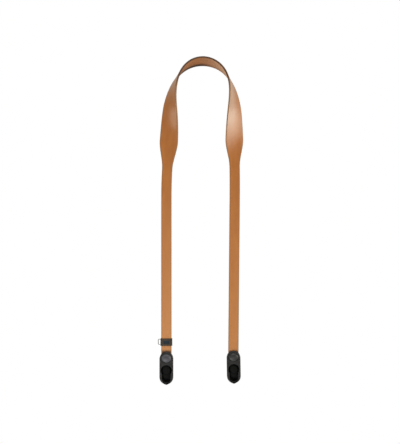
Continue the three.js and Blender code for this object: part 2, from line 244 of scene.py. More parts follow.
@dataclass(frozen=True)
class FleshLeather:
    """The hide's flesh side, split and brushed: duller brown, matt, with short fibres along the band.

    Over the crown it is painted lighter towards the right as painted light, and a painted shadow runs along
    the far edge, strongest left of the apex.
    """

    light: str = "#AD6E3C"
    deep: str = "#9A5F2F"
    # Painted light: the crown's right side is painted lighter and pinker.
    painted_light: str = "#EDBD9A"
    painted_light_from: float = -15 * MM
    painted_light_to: float = 50 * MM
    painted_light_end: float = 80 * MM
    painted_light_lost: float = 150 * MM
    painted_light_share: float = 0.85
    # A painted shadow along the far edge over the crown, strongest left of the apex.
    far_edge_shade: str = "#3C2110"
    far_edge_shade_width: float = 10.5 * MM
    far_edge_shade_solid: float = 3 * MM
    far_edge_shade_from: float = -5 * MM
    far_edge_shade_to: float = 16 * MM
    far_edge_shade_on_right: float = 0.3
    far_edge_shade_end: float = 28 * MM
    far_edge_shade_lost: float = 60 * MM
    fibre_width: float = 0.5 * MM
    fibre_length: float = 5 * MM
    cloud_size: float = 14 * MM

    def build(self) -> Material:
        """Returns the flesh side's material."""
        material, tree = new_tree("brushed flesh-side leather")
        flat = add_node(tree, "ShaderNodeAttribute", attribute_name="flat").outputs["Vector"]
        rim = add_node(tree, "ShaderNodeAttribute", attribute_name="rim").outputs["Fac"]
        parts = add_node(tree, "ShaderNodeSeparateXYZ", {0: flat}).outputs
        combed = add_node(tree, "ShaderNodeMapping", {
            "Vector": flat, "Scale": (1 / self.fibre_width, 1.0, 1 / self.fibre_length),
        })
        fibres = add_node(tree, "ShaderNodeTexNoise", {
            "Vector": combed.outputs["Vector"], "Scale": 1.0, "Detail": 6.0, "Roughness": 0.65,
            "Distortion": 0.6,
        })
        clouds = add_node(tree, "ShaderNodeTexNoise", {
            "Vector": flat, "Scale": 1 / self.cloud_size, "Detail": 4.0,
        })
        blend = add_node(tree, "ShaderNodeMix", {
            "Factor": 0.6, 2: fibres.outputs["Fac"], 3: clouds.outputs["Fac"],
        }, data_type="FLOAT")
        tone = add_node(tree, "ShaderNodeValToRGB", {"Fac": blend.outputs[0]})
        set_ramp(tone, [(0.35, self.deep), (0.65, self.light)])
        away = add_node(tree, "ShaderNodeMath", {0: parts["Z"]}, operation="ABSOLUTE").outputs[0]
        far_half = add_node(tree, "ShaderNodeMath", {0: parts["X"], 1: 0.0}, operation="GREATER_THAN")
        share = {"far half": far_half.outputs[0]}
        for name, source, start, end, low, high in (
            ("lighter rightward", parts["Z"], self.painted_light_from, self.painted_light_to, 0, self.painted_light_share),
            ("on crown", away, self.painted_light_end, self.painted_light_lost, 1, 0),
            ("near rim", rim, self.far_edge_shade_solid, self.far_edge_shade_width, 1, 0),
            ("shade by side", parts["Z"], self.far_edge_shade_from, self.far_edge_shade_to, 1, self.far_edge_shade_on_right),
            ("on apex", away, self.far_edge_shade_end, self.far_edge_shade_lost, 1, 0),
        ):
            share[name] = add_node(tree, "ShaderNodeMapRange", {
                "Value": source, "From Min": start, "From Max": end, "To Min": low, "To Max": high,
            }, interpolation_type="SMOOTHSTEP").outputs["Result"]
        for name, first, second in (
            ("painted_light", "lighter rightward", "on crown"), ("far rim", "near rim", "far half"),
            ("shade on apex", "shade by side", "on apex"), ("far_edge_shade", "far rim", "shade on apex"),
        ):
            both = add_node(tree, "ShaderNodeMath", {0: share[first], 1: share[second]}, operation="MULTIPLY")
            share[name] = both.outputs[0]
        colour = tone.outputs["Color"]
        for name, over in (("painted_light", self.painted_light), ("far_edge_shade", self.far_edge_shade)):
            colour = add_node(tree, "ShaderNodeMix", {
                "Factor": share[name], 6: colour, 7: to_linear(over),
            }, data_type="RGBA").outputs[2]
        bump = add_node(tree, "ShaderNodeBump", {
            "Height": fibres.outputs["Fac"], "Strength": 0.5, "Distance": 0.15 * MM,
        })
        close_surface(tree, {
            "Base Color": colour, "Roughness": 0.82, "Normal": bump.outputs["Normal"], "IOR": 1.45,
            "Sheen Weight": 0.1,
        })
        return material


@dataclass(frozen=True)
class BurnishedEdge:
    """The cut edge, dyed, waxed and rubbed smooth: dark brown, paler where it rounds over to either face."""

    grain: str = "#7A4A22"
    dark: str = "#4C2F19"
    flesh: str = "#6B4629"
    worn: str = "#9E7653"
    worn_from: float = 42 * MM
    worn_to: float = 74 * MM
    worn_share: float = 0.85
    wander: float = 0.16
    thickness: float = 2.4 * MM
    streak_size: float = 0.35 * MM

    def build(self) -> Material:
        """Returns the edge's material."""
        material, tree = new_tree("burnished leather edge")
        flat = add_node(tree, "ShaderNodeAttribute", attribute_name="flat").outputs["Vector"]
        parts = add_node(tree, "ShaderNodeSeparateXYZ", {0: flat}).outputs
        layers = add_node(tree, "ShaderNodeMapping", {
            "Vector": flat, "Scale": (1.0, 1 / self.streak_size, 0.03 / self.streak_size),
        })
        streaks = add_node(tree, "ShaderNodeTexNoise", {
            "Vector": layers.outputs["Vector"], "Scale": 1.0, "Detail": 4.0,
        }).outputs["Fac"]
        height = add_node(tree, "ShaderNodeMapRange", {
            "Value": parts["Y"], "From Min": -self.thickness / 2, "From Max": self.thickness / 2,
        })
        wandering = add_node(tree, "ShaderNodeMath", {
            0: streaks, 1: self.wander, 2: -self.wander / 2,
        }, operation="MULTIPLY_ADD")
        place = add_node(tree, "ShaderNodeMath", {
            0: height.outputs["Result"], 1: wandering.outputs[0],
        }, operation="ADD")
        tone = add_node(tree, "ShaderNodeValToRGB", {"Fac": place.outputs[0]})
        set_ramp(tone, [(0.0, self.flesh), (0.25, self.dark), (0.7, self.dark), (0.97, self.grain)])
        along = add_node(tree, "ShaderNodeMath", {0: parts["Z"]}, operation="ABSOLUTE")
        wear = add_node(tree, "ShaderNodeMapRange", {
            "Value": along.outputs[0], "From Min": self.worn_from, "From Max": self.worn_to,
            "To Max": self.worn_share,
        }, interpolation_type="SMOOTHSTEP")
        colour = add_node(tree, "ShaderNodeMix", {
            "Factor": wear.outputs["Result"], 6: tone.outputs["Color"], 7: to_linear(self.worn),
        }, data_type="RGBA")
        bump = add_node(tree, "ShaderNodeBump", {"Height": streaks, "Strength": 0.3, "Distance": 0.05 * MM})
        close_surface(tree, {
            "Base Color": colour.outputs[2], "Roughness": 0.55, "Normal": bump.outputs["Normal"], "IOR": 1.45,
        })
        return material


@dataclass(frozen=True)
class MouldedPlastic:
    """Filled nylon or rubber from an eroded mould: near black, with a fine tooth that dulls the light."""

    name: str = "moulded black nylon"
    light: str = "#222123"
    deep: str = "#18171A"
    roughness: float = 0.42
    gloss: float = 0.42
    polish: float = 0.06
    tooth_size: float = 0.35 * MM
    tooth_height: float = 0.02 * MM
    cloud_size: float = 6 * MM

    def build(self) -> Material:
        """Returns the moulded part's material."""
        material, tree = new_tree(self.name)
        place = add_node(tree, "ShaderNodeTexCoord").outputs["Object"]
        tooth = add_node(tree, "ShaderNodeTexNoise", {
            "Vector": place, "Scale": 1 / self.tooth_size, "Detail": 3.0,
        })
        clouds = add_node(tree, "ShaderNodeTexNoise", {
            "Vector": place, "Scale": 1 / self.cloud_size, "Detail": 4.0,
        }).outputs["Fac"]
        tone = add_node(tree, "ShaderNodeValToRGB", {"Fac": clouds})
        set_ramp(tone, [(0.35, self.deep), (0.65, self.light)])
        bump = add_node(tree, "ShaderNodeBump", {
            "Height": tooth.outputs["Fac"], "Strength": 0.5, "Distance": self.tooth_height,
        })
        polish = add_node(tree, "ShaderNodeMapRange", {
            "Value": clouds, "To Min": self.roughness - self.polish, "To Max": self.roughness + self.polish,
        })
        close_surface(tree, {
            "Base Color": tone.outputs["Color"], "Roughness": polish.outputs["Result"],
            "Normal": bump.outputs["Normal"], "IOR": 1.5, "Specular IOR Level": self.gloss,
        })
        return material


class Moulding(Enum):
    """The moulded finishes, each with its name, its two tones, its roughness and its gloss."""

    # Satin near-black housing bodies
    BODY = MouldedPlastic()
    # Dull near-black walls inside the housings, painted darker than the body as shade
    INSIDE = MouldedPlastic("nylon inside with painted shade", "#1A1A1B", "#141415", 0.75, 0.2)
    # Both thumb domes carry a painted sheen, lighter than the body, the left one much lighter than the right:
    # lit and shaded copies of one finish
    LEFT_DOME_STRONG_PAINTED_SHEEN = MouldedPlastic("thumb dome with strong painted sheen", "#504F57", "#46454C", gloss=0.5)
    RIGHT_DOME_FAINT_PAINTED_SHEEN = MouldedPlastic("satin nylon thumb dome", "#333335", "#2B2B2D", gloss=0.45)
    # Dull black tongues deep in the pockets, painted darker than the body as the pockets' shade
    TONGUE = MouldedPlastic("moulded nylon tongue", "#0D0D0E", "#09090A", 0.7, 0.15)
    # Warm grey-black rubber, and the smoother blue-black plate let into its front
    RUBBER = MouldedPlastic("moulded black rubber", "#443A33", "#372F29", 0.6, 0.3)
    PLATE = MouldedPlastic("blue-black keeper plate", "#1E2C3A", "#16222E", 0.45, 0.3)


@dataclass(frozen=True)
class DrawnMetal:
    """Drawn wire or turned rod, plated or plain: bright, with faint lines and a little tarnish."""

    name: str = "nickel-plated wire"
    light: str = "#B4B5B8"
    deep: str = "#97989C"
    roughness: float = 0.25
    brightened: float = 0.05
    tarnished: float = 0.08
    line_size: float = 0.25 * MM

    def build(self) -> Material:
        """Returns the metal's material."""
        material, tree = new_tree(self.name)
        place = add_node(tree, "ShaderNodeTexCoord")
        lines = add_node(tree, "ShaderNodeTexNoise", {
            "Vector": place.outputs["Object"], "Scale": 1 / self.line_size, "Detail": 3.0,
        }).outputs["Fac"]
        tone = add_node(tree, "ShaderNodeValToRGB", {"Fac": lines})
        set_ramp(tone, [(0.3, self.deep), (0.7, self.light)])
        gloss = add_node(tree, "ShaderNodeMapRange", {
            "Value": lines, "To Min": self.roughness - self.brightened,
            "To Max": self.roughness + self.tarnished,
        })
        close_surface(tree, {
            "Base Color": tone.outputs["Color"], "Roughness": gloss.outputs["Result"], "Metallic": 1.0,
        })
        return material


def to_object(name: str, bm: BMesh, materials: list[Material]) -> Object:
    """Writes a bmesh into a new object at the origin.

    Args:
        name: the object's name.
        bm: the shape, which is freed.
        materials: the object's material slots, in order.

    Returns:
        The linked object.
    """
    mesh = bpy.data.meshes.new(name)
    bm.to_mesh(mesh)
    bm.free()
    for material in materials:
        mesh.materials.append(material)
    piece = bpy.data.objects.new(name, mesh)
    bpy.context.scene.collection.objects.link(piece)
    return piece


def combine(base: Object, tool: Object, how: Join) -> None:
    """Adds one solid to another or cuts it out, and takes the tool away.

    Args:
        base: the object that keeps the result.
        tool: the solid that is added or cut out.
        how: add or cut.
    """
    modifier = base.modifiers.new("combine", "BOOLEAN")
    modifier.operation = how.value
    modifier.solver = "EXACT"
    modifier.object = tool
    modifier.material_mode = "TRANSFER"
    settle(base)
    old = tool.data
    bpy.data.objects.remove(tool)
    bpy.data.meshes.remove(old)


def settle(piece: Object) -> None:
    """Turns a piece's modifiers into its mesh."""
    graph = bpy.context.evaluated_depsgraph_get()
    old = piece.data
    made = bpy.data.meshes.new_from_object(piece.evaluated_get(graph), depsgraph=graph)
    piece.modifiers.clear()
    piece.data = made
    made.name = piece.name
    bpy.data.meshes.remove(old)


def smooth(piece: Object, sharp_degrees: float = 35) -> None:
    """Shades a piece smooth, with crisp edges where faces meet at more than an angle."""
    piece.data.shade_smooth()
    piece.data.set_sharp_from_angle(angle=math.radians(sharp_degrees))
    weighted = piece.modifiers.new("weighted", "WEIGHTED_NORMAL")
    weighted.keep_sharp = True


def plate(outline: list[Vector], front: float, back: float) -> BMesh:
    """A straight-sided solid between two depths.

    Args:
        outline: the shape that the viewer sees, as x and z, in order round it.
        front: the depth of the near face.
        back: the depth of the far face.

    Returns:
        The closed solid.
    """
    bm = bmesh.new()
    bmesh.ops.create_circle(bm, cap_ends=True, segments=len(outline), radius=1)
    for vert, place in zip(bm.verts, outline):
        vert.co = (place.x, front, place.y)
    made = bmesh.ops.extrude_face_region(bm, geom=bm.faces[:])
    moved = [item for item in made["geom"] if isinstance(item, BMVert)]
    bmesh.ops.translate(bm, verts=moved, vec=(0, back - front, 0))
    bmesh.ops.recalc_face_normals(bm, faces=bm.faces[:])
    return bm


def round_rim(bm: BMesh, depth: float, radius: float, segments: int = 5) -> None:
    """Rounds the edges of a plate that lie at a depth.

    Args:
        bm: the plate.
        depth: the depth of the face whose rim is rounded.
        radius: how far the rounding reaches.
        segments: how many faces it has.
    """
    tiny = 0.001 * MM
    rim = [edge for edge in bm.edges if all(abs(vert.co.y - depth) < tiny for vert in edge.verts)]
    bmesh.ops.bevel(
        bm, geom=rim, offset=radius, offset_type="OFFSET", segments=segments, profile=0.5, affect="EDGES",
        material=-1,
    )


def block(low: Vector, high: Vector) -> BMesh:
    """A rectangular solid between two corners."""
    bm = bmesh.new()
    bmesh.ops.create_cube(bm, size=1)
    bmesh.ops.scale(bm, verts=bm.verts[:], vec=high - low)
    bmesh.ops.translate(bm, verts=bm.verts[:], vec=(low + high) / 2)
    return bm


def rod(axis: str, radius: float, length: float, centre: Vector, segments: int = 48) -> BMesh:
    """A round solid along X, Y or Z.

    Args:
        axis: the letter of the direction that it lies along.
        radius: its radius.
        length: its length.
        centre: its middle.
        segments: how many sides it has.

    Returns:
        The closed solid.
    """
    turns = {"X": Matrix.Rotation(math.pi / 2, 4, "Y"), "Y": Matrix.Rotation(math.pi / 2, 4, "X")}
    bm = bmesh.new()
    bmesh.ops.create_cone(
        bm, cap_ends=True, segments=segments, radius1=radius, radius2=radius, depth=length,
        matrix=Matrix.Translation(centre) @ turns.get(axis, Matrix.Identity(4)),
    )
    return bm


def arc(centre: Vector, across: float, up: float, start: float, end: float, points: int) -> list[Vector]:
    """Points along an ellipse of a half width and half height, between two angles in degrees from +X."""
    angles = [math.radians(start + (end - start) * i / (points - 1)) for i in range(points)]
    return [centre + Vector((across * math.cos(a), up * math.sin(a))) for a in angles]


def bezier(ends: tuple[Vector, Vector], pulls: tuple[Vector, Vector], points: int) -> list[Vector]:
    """Points along a cubic curve between two ends, each with the handle that pulls it."""
    shares = [(i / (points - 1), 1 - i / (points - 1)) for i in range(points)]
    return [
        ends[0] * s ** 3 + pulls[0] * 3 * t * s ** 2 + pulls[1] * 3 * t ** 2 * s + ends[1] * t ** 3
        for t, s in shares
    ]


def rounded_rectangle(half: float, low: float, high: float, corner: float) -> list[Vector]:
    """Points round a rectangle with round corners, between a lower and an upper side."""
    centres = [
        (Vector((half - corner, high - corner)), 0), (Vector((corner - half, high - corner)), 90),
        (Vector((corner - half, low + corner)), 180), (Vector((half - corner, low + corner)), 270),
    ]
    return [place for centre, start in centres for place in arc(centre, corner, corner, start, start + 90, 7)]


@dataclass(frozen=True)
class Row:
    """How the band runs on at a step from the crown, in degrees.

    Fall turns it from level to straight down, lean brings it towards the viewer, and turn swings its grain
    side to face them.
    """

    fall: float
    lean: float
    turn: float


@dataclass(frozen=True)
class Station:
    """The band's middle and its three directions at one length along it."""

    middle: Vector
    run: Vector
    grain: Vector
    far: Vector


@dataclass
class Drape:
    """The line that the band's middle follows: an arch over the neck and a quarter twist down each side."""

    step: float = 22.5 * MM
    stride: float = 1 * MM
    thickness: float = 2.4 * MM
    crown: Row = Row(1, -1, -25)
    left: tuple[Row, ...] = (
        Row(36, 12, -13), Row(66, 16, 8), Row(80, 11, 26), Row(89.5, 5, 49), Row(88, 3, 66),
        Row(86.5, 1, 81), Row(86, 0, 88), Row(87, 0, 90), Row(90, 0, 90), Row(90, 0, 90),
    )
    right: tuple[Row, ...] = (
        Row(34, 11, -14), Row(67, 14, 3), Row(84, 10, 24), Row(90.5, 4, 46), Row(90.5, 1, 61),
        Row(89, 0, 75), Row(89, 0, 86), Row(89.5, 0, 90), Row(90.5, 0, 90), Row(90.5, 0, 90),
    )

    def row_at(self, step: int) -> Vector:
        """The climb, away and turn at a whole step from the crown, left of it when negative."""
        rows = self.left if step < 0 else self.right
        row = self.crown if step == 0 else rows[min(abs(step), len(rows)) - 1]
        sense = 1 if step < 0 else -1
        return Vector((sense * row.fall, sense * row.lean, row.turn))

    def angles_at(self, along: float) -> Vector:
        """The climb, away and turn at a length along the band, blended by a cubic B-spline.

        Args:
            along: the length from the crown, negative to its left.

        Returns:
            The three angles in degrees.
        """
        first = math.floor(along / self.step)
        f = along / self.step - first
        weights = (
            (1 - f) ** 3 / 6,
            (3 * f ** 3 - 6 * f ** 2 + 4) / 6,
            (-3 * f ** 3 + 3 * f ** 2 + 3 * f + 1) / 6,
            f ** 3 / 6,
        )
        return sum((self.row_at(first - 1 + i) * w for i, w in enumerate(weights)), Vector((0, 0, 0)))

    def directions_at(self, along: float) -> tuple[Vector, Vector, Vector]:
        """The band's directions at a length along it.

        Args:
            along: the length from the crown.

        Returns:
            Along the band, out of its grain side, and towards its far edge.
        """
        climb, away, turn = (math.radians(angle) for angle in self.angles_at(along))
        run = Vector((math.cos(climb) * math.cos(away), math.sin(away), math.sin(climb) * math.cos(away)))
        depth = Vector((0, 1, 0))
        inward = depth.cross(run).normalized()
        facing = (run * run.y - depth).normalized()
        near = facing * math.cos(turn) + inward * math.sin(turn)
        grain = facing * math.sin(turn) - inward * math.cos(turn)
        return run, grain, -near

    def walk(self, places: list[float]) -> dict[float, Station]:
        """Follows the middle line out from the crown.

        Args:
            places: the lengths along the band that are wanted.

        Returns:
            A station for each of them.
        """
        stations = {}
        for sense in (-1, 1):
            middle = self.directions_at(0)[1] * self.thickness / 2
            done = 0.0
            for place in sorted((p for p in places if p * sense >= 0), key=abs):
                steps = max(1, math.ceil(abs(place - done) / self.stride))
                stride = (place - done) / steps
                for i in range(steps):
                    middle = middle + self.directions_at(done + (i + 0.5) * stride)[0] * stride
                done = place
                stations[place] = Station(middle, *self.directions_at(place))
        return stations

    def station(self, along: float) -> Station:
        """The station at one length along the band."""
        return self.walk([along])[along]


@dataclass
class LeatherBand:
    """The strap: one band of leather, cut flat and then laid on the draped line."""

    drape: Drape
    length: float = 850.4 * MM
    crown_shift: float = 0.9 * MM
    pad_shift: float = 2 * MM
    pad_width: float = 25 * MM
    leg_width: float = 13.9 * MM
    pad_length: float = 263 * MM
    taper_length: float = 38 * MM
    edge_radius: float = 0.8 * MM
    socket_depth: float = 9 * MM
    pin_drop: float = 5 * MM
    pin_hole: float = 1.8 * MM
    cup_degrees: float = 7
    cup_from: float = 45 * MM
    cup_full: float = 85 * MM
    stations: int = 426
    strips: int = 8

    def width_at(self, along: float) -> float:
        """The band's width at a length along it: full over the neck, then an S-shaped taper to the legs."""
        share = min(max((abs(along + self.pad_shift) - self.pad_length / 2) / self.taper_length, 0), 1)
        eased = share * share * (3 - 2 * share)
        return self.pad_width + (self.leg_width - self.pad_width) * eased

    def cup_at(self, across: float, along: float) -> float:
        """How far the pad's slight cup lifts a point out of the grain side, which is hollow.

        Args:
            across: how far the point lies from the band's middle.
            along: its length along the band.

        Returns:
            The lift, which is nought on average across the band.
        """
        width = self.width_at(along)
        rising = min(max((abs(along) - self.cup_from) / (self.cup_full - self.cup_from), 0), 1)
        falling = (width - self.leg_width) / (self.pad_width - self.leg_width)
        slope = math.tan(math.radians(self.cup_degrees)) * rising * falling
        return slope * (across ** 2 - width ** 2 / 12) / width

    def mouth_along(self, side: Side) -> float:
        """The length along the band at which a leg enters its housing."""
        return side.value * (self.length / 2 - self.socket_depth) - self.crown_shift

    def cut_flat(self) -> BMesh:
        """Makes the flat band as strips and stations, X across, Y through and Z along it.

        Returns:
            The band at full width, open at its ends.
        """
        bm = bmesh.new()
        bmesh.ops.create_cube(bm, size=1)
        size = Vector((self.pad_width, self.drape.thickness, self.length))
        bmesh.ops.scale(bm, verts=bm.verts[:], vec=size)
        ends = [face for face in bm.faces if abs(face.normal.z) > 0.5]
        bmesh.ops.delete(bm, geom=ends, context="FACES_ONLY")
        across = [edge for edge in bm.edges if self.pad_width / 2 < edge.calc_length() < self.length / 2]
        bmesh.ops.subdivide_edges(bm, edges=across, cuts=self.strips - 1)
        rim = 0.49 * self.pad_width
        corners = [
            edge for edge in bm.edges
            if edge.calc_length() > self.length / 2 and all(abs(vert.co.x) > rim for vert in edge.verts)
        ]
        bmesh.ops.bevel(
            bm, geom=corners, offset=self.edge_radius, offset_type="OFFSET", segments=4, profile=0.5,
            affect="EDGES", material=-1,
        )
        lengthwise = [edge for edge in bm.edges if edge.calc_length() > self.length / 2]
        bmesh.ops.subdivide_edges(bm, edges=lengthwise, cuts=self.stations - 1, use_grid_fill=True)
        return bm

    def lay(self, bm: BMesh) -> None:
        """Narrows the flat band to its outline, notes where each point was, and drapes it.

        Args:
            bm: the flat band.
        """
        flat = bm.verts.layers.float_vector.new("flat")
        rim = bm.verts.layers.float.new("rim")
        places = {vert: round(vert.co.z - self.crown_shift, 7) for vert in bm.verts}
        line = self.drape.walk(sorted(set(places.values())))
        full = self.pad_width / 2 - self.edge_radius
        for vert, along in places.items():
            width = self.width_at(along)
            inset = (self.pad_width - width) / 2
            share = min(max(vert.co.x / full, -1), 1)
            x = vert.co.x - inset * share
            here = line[along]
            vert[flat] = (x, vert.co.y, along)
            vert[rim] = width / 2 - abs(x)
            vert.co = here.middle + here.far * x + here.grain * (vert.co.y + self.cup_at(x, along))

    def build(self) -> Object:
        """Builds the leather band with its three finishes.

        Returns:
            The strap's object.
        """
        bm = self.cut_flat()
        for face in bm.faces:
            centre = face.calc_center_median()
            on_edge = abs(centre.x) > self.pad_width / 2 - self.edge_radius
            face.material_index = 2 if on_edge else int(centre.y < 0)
        self.lay(bm)
        rims = [edge for edge in bm.edges if edge.is_boundary]
        caps = bmesh.ops.edgeloop_fill(bm, edges=rims)
        for face in caps["faces"]:
            face.material_index = 2
        bmesh.ops.recalc_face_normals(bm, faces=bm.faces[:])
        finishes = [GrainLeather().build(), FleshLeather().build(), BurnishedEdge().build()]
        band = to_object("leather_band", bm, finishes)
        for side in Side:
            mouth = self.drape.station(self.mouth_along(side)).middle
            hole = rod("Y", self.pin_hole, 4 * self.drape.thickness, mouth - Vector((0, 0, self.pin_drop)))
            combine(band, to_object("pin_hole", hole, []), Join.CUT)
        band.data.shade_smooth()
        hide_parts("strap")
        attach(band, "strap_body")
        return band


@dataclass
class ReleaseHousing:
    """One moulded housing, drawn at its mouth: leather socket above, keyhole and anchor pocket below."""

    width: float = 18.5 * MM
    length: float = 44.6 * MM
    front: float = 4.4 * MM
    back: float = 5 * MM
    rim: float = 1.4 * MM
    cap_height: float = 10.3 * MM
    nose_length: float = 11 * MM
    nose_tip_across: float = 0.56
    nose_tip_up: float = 0.16
    nose_side_up: float = 0.4
    dome_width: float = 14.4 * MM
    dome_length: float = 12.2 * MM
    dome_rise: float = 1.2 * MM
    dome_drop: float = 3 * MM
    dome_point: float = 0.3
    dome_moat: float = 1.0 * MM
    dome_moat_depth: float = 0.7 * MM
    socket_width: float = 15.1 * MM
    socket_thickness: float = 3 * MM
    socket_depth: float = 9.3 * MM
    entry_diameter: float = 14.8 * MM
    entry_drop: float = 25.2 * MM
    disc_slide: float = 8.6 * MM
    lip_thickness: float = 1.5 * MM
    channel_width: float = 11.7 * MM
    channel_end_width: float = 2.6 * MM
    channel_end: float = 45 * MM
    channel_taper: float = 7.8 * MM
    groove_radius: float = 1.3 * MM
    back_wall: float = 1.5 * MM
    tongue_width: float = 9.4 * MM
    tongue_front: float = 0.2 * MM
    tongue_thickness: float = 1.3 * MM
    tongue_end: float = 36.4 * MM
    hinge_drop: float = 15.5 * MM
    hinge_radius: float = 1.4 * MM
    seat_radius: float = 5.3 * MM
    seat_rise: float = 1 * MM
    pin_drop: float = 5 * MM
    pin_hole: float = 1.8 * MM
    pin_front: float = 3.5 * MM
    gap: float = 0.3 * MM
    overcut: float = 1 * MM

    def outline(self) -> list[Vector]:
        """The housing as the viewer sees it: a round cap, straight sides and a blunt nose."""
        half = self.width / 2
        tip = Vector((0, -self.length))
        nose_top = self.nose_length - self.length
        tip_pull = Vector((half * self.nose_tip_across, self.nose_length * self.nose_tip_up - self.length))
        side_pull = Vector((half, self.nose_length * self.nose_side_up - self.length))
        cap = arc(Vector((0, -self.cap_height)), half, self.cap_height, 0, 180, 49)
        right = bezier((tip, Vector((half, nose_top))), (tip_pull, side_pull), 25)
        left = [Vector((-place.x, place.y)) for place in reversed(right)]
        return cap + left[:-1] + right

    def keyhole(self) -> list[Vector]:
        """The opening in the front: a round entry over a channel that closes to a V."""
        radius = self.entry_diameter / 2
        half = self.channel_width / 2
        meet = math.degrees(math.acos(half / radius))
        end = self.channel_end_width / 2
        top = self.channel_taper - self.channel_end
        bottom = -self.channel_end
        entry = arc(Vector((0, -self.entry_drop)), radius, radius, -meet, 180 + meet, 49)
        low = Vector((end, bottom))
        high = Vector((half, top))
        bend = Vector((half, top - self.channel_taper * 0.3))
        right = bezier((low, high), (low.lerp(bend, 0.55), high.lerp(bend, 0.8)), 13)
        left = [Vector((-place.x, place.y)) for place in reversed(right)]
        return entry + left + right

    def pocket(self) -> list[Vector]:
        """The pocket behind the lips, as long as the disc's slide."""
        radius = self.entry_diameter / 2
        upper = arc(Vector((0, -self.entry_drop)), radius, radius, 0, 180, 33)
        lower = arc(Vector((0, -self.entry_drop - self.disc_slide)), radius, radius, 180, 360, 33)
        return upper + lower

    @property
    def dome_middle(self) -> float:
        """How high the middle of the thumb dome lies, below the mouth."""
        return -self.dome_drop - self.dome_length / 2

    def narrowed(self, share: float) -> float:
        """How much of its width the thumb dome keeps at a share of its half length: its foot is blunt."""
        return 1 - self.dome_point * min(share, 0) ** 2

    def moat(self) -> list[Vector]:
        """The outline of the fine groove round the thumb dome."""
        shown = math.sqrt(1 - (self.rim / (self.rim + self.dome_rise)) ** 2)
        across = self.dome_width / 2 * shown + self.dome_moat
        up = self.dome_length / 2 * shown + self.dome_moat
        sides = 48
        ring = arc(Vector((0, 0)), across, up, 0, 360 - 360 / sides, sides)
        return [Vector((place.x * self.narrowed(place.y / up), place.y + self.dome_middle)) for place in ring]

    def dome(self) -> BMesh:
        """The thumb dome on the front, above the keyhole."""
        bm = bmesh.new()
        bmesh.ops.create_uvsphere(bm, u_segments=48, v_segments=24, radius=1)
        size = Vector((self.dome_width / 2, self.rim + self.dome_rise, self.dome_length / 2))
        bmesh.ops.rotate(bm, verts=bm.verts[:], cent=(0, 0, 0), matrix=Matrix.Rotation(math.pi / 2, 3, "X"))
        for vert in bm.verts:
            vert.co.x *= self.narrowed(vert.co.z)
        bmesh.ops.scale(bm, verts=bm.verts[:], vec=size)
        middle = Vector((0, self.rim - self.front, self.dome_middle))
        bmesh.ops.translate(bm, verts=bm.verts[:], vec=middle)
        return bm

    def cuts(self) -> list[BMesh]:
        """Everything that is cut out of the housing, in order.

        Returns:
            The closed solids of the socket, keyhole, pocket, tongue chamber, hinge, pin hole and cord groove.
        """
        cavity_back = self.back - self.back_wall
        pocket_front = self.lip_thickness - self.front
        half = self.socket_width / 2
        thick = self.socket_thickness / 2
        chamber = self.tongue_width / 2 + self.gap
        hinge_depth = self.tongue_thickness / 2 - self.tongue_front
        hole_length = self.pin_front + self.back + self.overcut
        hole_middle = Vector((0, hole_length / 2 - self.pin_front, -self.pin_drop))
        return [
            block(Vector((-half, -thick, -self.socket_depth)), Vector((half, thick, self.overcut))),
            plate(self.keyhole(), -self.front - self.dome_rise - self.overcut, pocket_front + self.gap),
            plate(self.pocket(), pocket_front, cavity_back),
            block(
                Vector((-chamber, -self.tongue_front - self.gap, -self.entry_drop)),
                Vector((chamber, cavity_back, -self.hinge_drop)),
            ),
            rod("X", self.hinge_radius + self.gap, 2 * chamber, Vector((0, hinge_depth, -self.hinge_drop))),
            rod("Y", self.pin_hole, hole_length, hole_middle),
            rod("Z", self.groove_radius, self.nose_length, Vector((0, -self.front, -self.length))),
        ]

    def shell(self, finishes: list[Material]) -> Object:
        """Builds one housing at the origin, with its mouth's middle there.

        Args:
            finishes: the materials of the body, the thumb dome and the inside.

        Returns:
            The housing's object.
        """
        bm = plate(self.outline(), -self.front, self.back)
        round_rim(bm, -self.front, self.rim)
        round_rim(bm, self.back, self.rim)
        body = to_object("housing", bm, finishes)
        moat = plate(self.moat(), -self.front - self.overcut, -self.front + self.dome_moat_depth)
        # The moat and every cut take the inside finish with its painted shade.
        combine(body, to_object("moat", moat, [finishes[2]]), Join.CUT)
        combine(body, to_object("dome", self.dome(), [finishes[1]]), Join.ADD)
        for cut in self.cuts():
            combine(body, to_object("cut", cut, [finishes[2]]), Join.CUT)
        return body

    def tongue(self, finish: Material) -> Object:
        """Builds one spring tongue in the housing's frame, with its hinge roll and raised anchor seat.

        Args:
            finish: the tongue's material.

        Returns:
            The tongue's object.
        """
        half = self.tongue_width / 2
        front = -self.tongue_front
        back = front + self.tongue_thickness
        top = [Vector((half, -self.hinge_drop)), Vector((-half, -self.hinge_drop))]
        end = arc(Vector((0, half - self.tongue_end)), half, half, 180, 360, 33)
        bm = plate(top + end, front, back)
        round_rim(bm, front, 0.25 * MM, 2)
        piece = to_object("tongue", bm, [finish])
        hinge = Vector((0, (front + back) / 2, -self.hinge_drop))
        roll = rod("X", self.hinge_radius, self.tongue_width, hinge)
        combine(piece, to_object("roll", roll, [finish]), Join.ADD)
        depth = self.seat_rise + self.tongue_thickness / 2
        middle = Vector((0, front - self.seat_rise + depth / 2, -self.entry_drop))
        seat = rod("Y", self.seat_radius, depth, middle, segments=64)
        round_rim(seat, front - self.seat_rise, 0.3 * MM, 3)
        combine(piece, to_object("seat", seat, [finish]), Join.ADD)
        return piece


